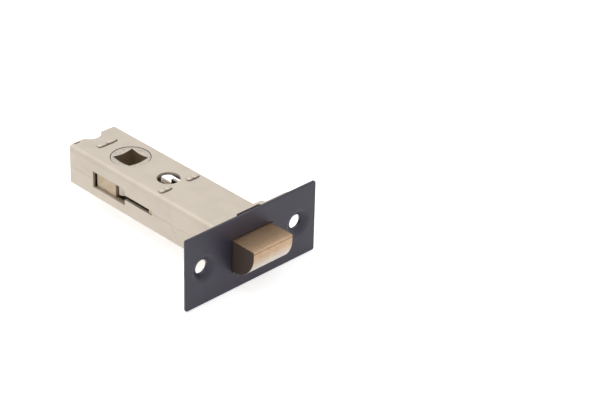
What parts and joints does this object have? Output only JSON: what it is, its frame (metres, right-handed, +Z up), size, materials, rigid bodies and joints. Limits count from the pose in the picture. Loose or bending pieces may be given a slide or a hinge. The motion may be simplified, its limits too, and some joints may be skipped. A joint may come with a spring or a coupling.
{
  "type": "tubular door latch",
  "caption": "Tubular door latch: bevelled sprung bolt, forend plate, wrapped sheet case, and a square-hole follower that draws the bolt back through a sprung yoke.",
  "frame": {"origin": "centre of the forend's front face, in the plane of the door edge", "axes": "+X out of the door edge, the way the bolt is thrown; +Y along the forend; +Z up, along the spindle axis"},
  "size_m": [0.0853, 0.054, 0.025],
  "materials": {
    "black_coat": "satin black powder coat on steel sheet",
    "nickel_plate": "satin nickel plate on steel sheet",
    "zinc_plate": "warm zinc plate on steel",
    "bolt_bronze": "speckled brown bronze",
    "spring_steel": "bright drawn wire",
    "follower_metal": "tumbled satin metal"
  },
  "bodies": {
    "case_body": {"forend_plate": "black_coat", "mounting_plate": "nickel_plate", "latch_case": "nickel_plate", "spring_bridge": "zinc_plate", "rear_spacer": "zinc_plate", "return_spring": "spring_steel"},
    "follower_body": {"follower": "follower_metal"},
    "drawbar_body": {"drawbar": "zinc_plate", "latch_spring": "spring_steel"},
    "bolt_body": {"latch_bolt": "bolt_bronze", "tail_rod": "zinc_plate", "tail_washer": "zinc_plate"}
  },
  "joints": [
    {"name": "follower_turn", "type": "hinge", "parent": "case_body", "child": "follower_body", "pos_m": [-0.057, 0, 0], "axis": [0, 0, -1], "range_deg": [0, 63.7]},
    {"name": "drawbar_slide", "type": "slide", "parent": "case_body", "child": "drawbar_body", "axis": [-1, 0, 0], "range_m": [0, 0.0095], "stiffness_N_per_m": 400, "springref_m": -0.004, "deforming": ["return_spring"]},
    {"name": "bolt_slide", "type": "slide", "parent": "drawbar_body", "child": "bolt_body", "axis": [-1, 0, 0], "range_m": [0, 0.0095], "stiffness_N_per_m": 300, "springref_m": -0.008, "deforming": ["latch_spring"]}
  ],
  "couplings": [
    {"joint": "follower_turn", "follows": "drawbar_slide", "rad_per_m": 117.02}
  ]
}
